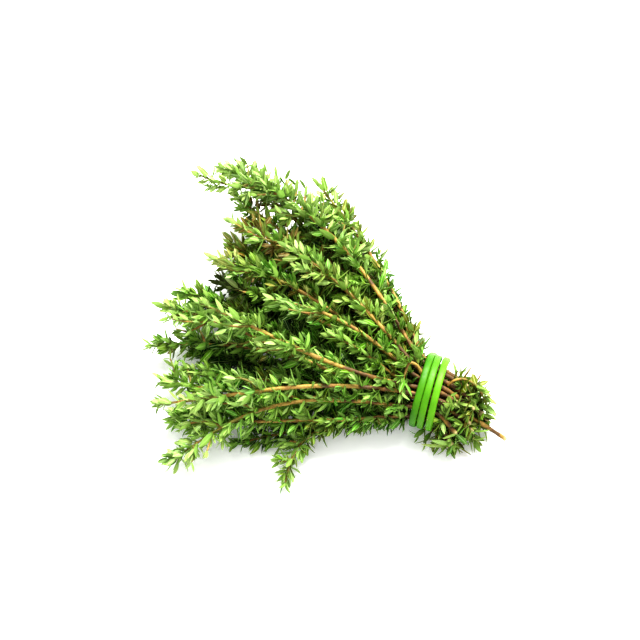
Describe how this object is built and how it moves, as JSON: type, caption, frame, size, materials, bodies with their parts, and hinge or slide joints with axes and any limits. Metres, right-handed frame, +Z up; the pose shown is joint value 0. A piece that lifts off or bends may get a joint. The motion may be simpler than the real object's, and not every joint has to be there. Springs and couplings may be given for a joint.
{
  "type": "thyme bundle",
  "caption": "Bunch of fresh thyme sprigs lying on its side, tied near the cut stems with a green rubber band wound round and round.",
  "frame": {"origin": "the middle of the bundle's footprint, on the surface that it lies on", "axes": "+X runs along the bundle from the leafy tips to the cut ends, square to the band's turns; +Z is up, away from the surface"},
  "size_m": [0.1634, 0.148, 0.0442],
  "materials": {
    "thyme_leaf": "fresh leaf, satin, on a woody stem",
    "green_rubber": "smooth, slightly glossy"
  },
  "bodies": {
    "root": {"rubber_band": "green_rubber", "sprig_top_1": "thyme_leaf", "sprig_top_2": "thyme_leaf", "sprig_top_3": "thyme_leaf", "sprig_top_4": "thyme_leaf", "sprig_top_5": "thyme_leaf", "sprig_upper_1": "thyme_leaf", "sprig_upper_2": "thyme_leaf", "sprig_upper_3": "thyme_leaf", "sprig_upper_4": "thyme_leaf", "sprig_upper_5": "thyme_leaf", "sprig_upper_6": "thyme_leaf", "sprig_middle_1": "thyme_leaf", "sprig_middle_2": "thyme_leaf", "sprig_middle_3": "thyme_leaf", "sprig_middle_4": "thyme_leaf", "sprig_middle_5": "thyme_leaf", "sprig_middle_6": "thyme_leaf", "sprig_lower_1": "thyme_leaf", "sprig_lower_2": "thyme_leaf", "sprig_lower_3": "thyme_leaf", "sprig_lower_4": "thyme_leaf", "sprig_lower_5": "thyme_leaf", "sprig_bottom_1": "thyme_leaf", "sprig_bottom_2": "thyme_leaf", "sprig_bottom_3": "thyme_leaf", "sprig_bottom_4": "thyme_leaf"}
  },
  "joints": []
}
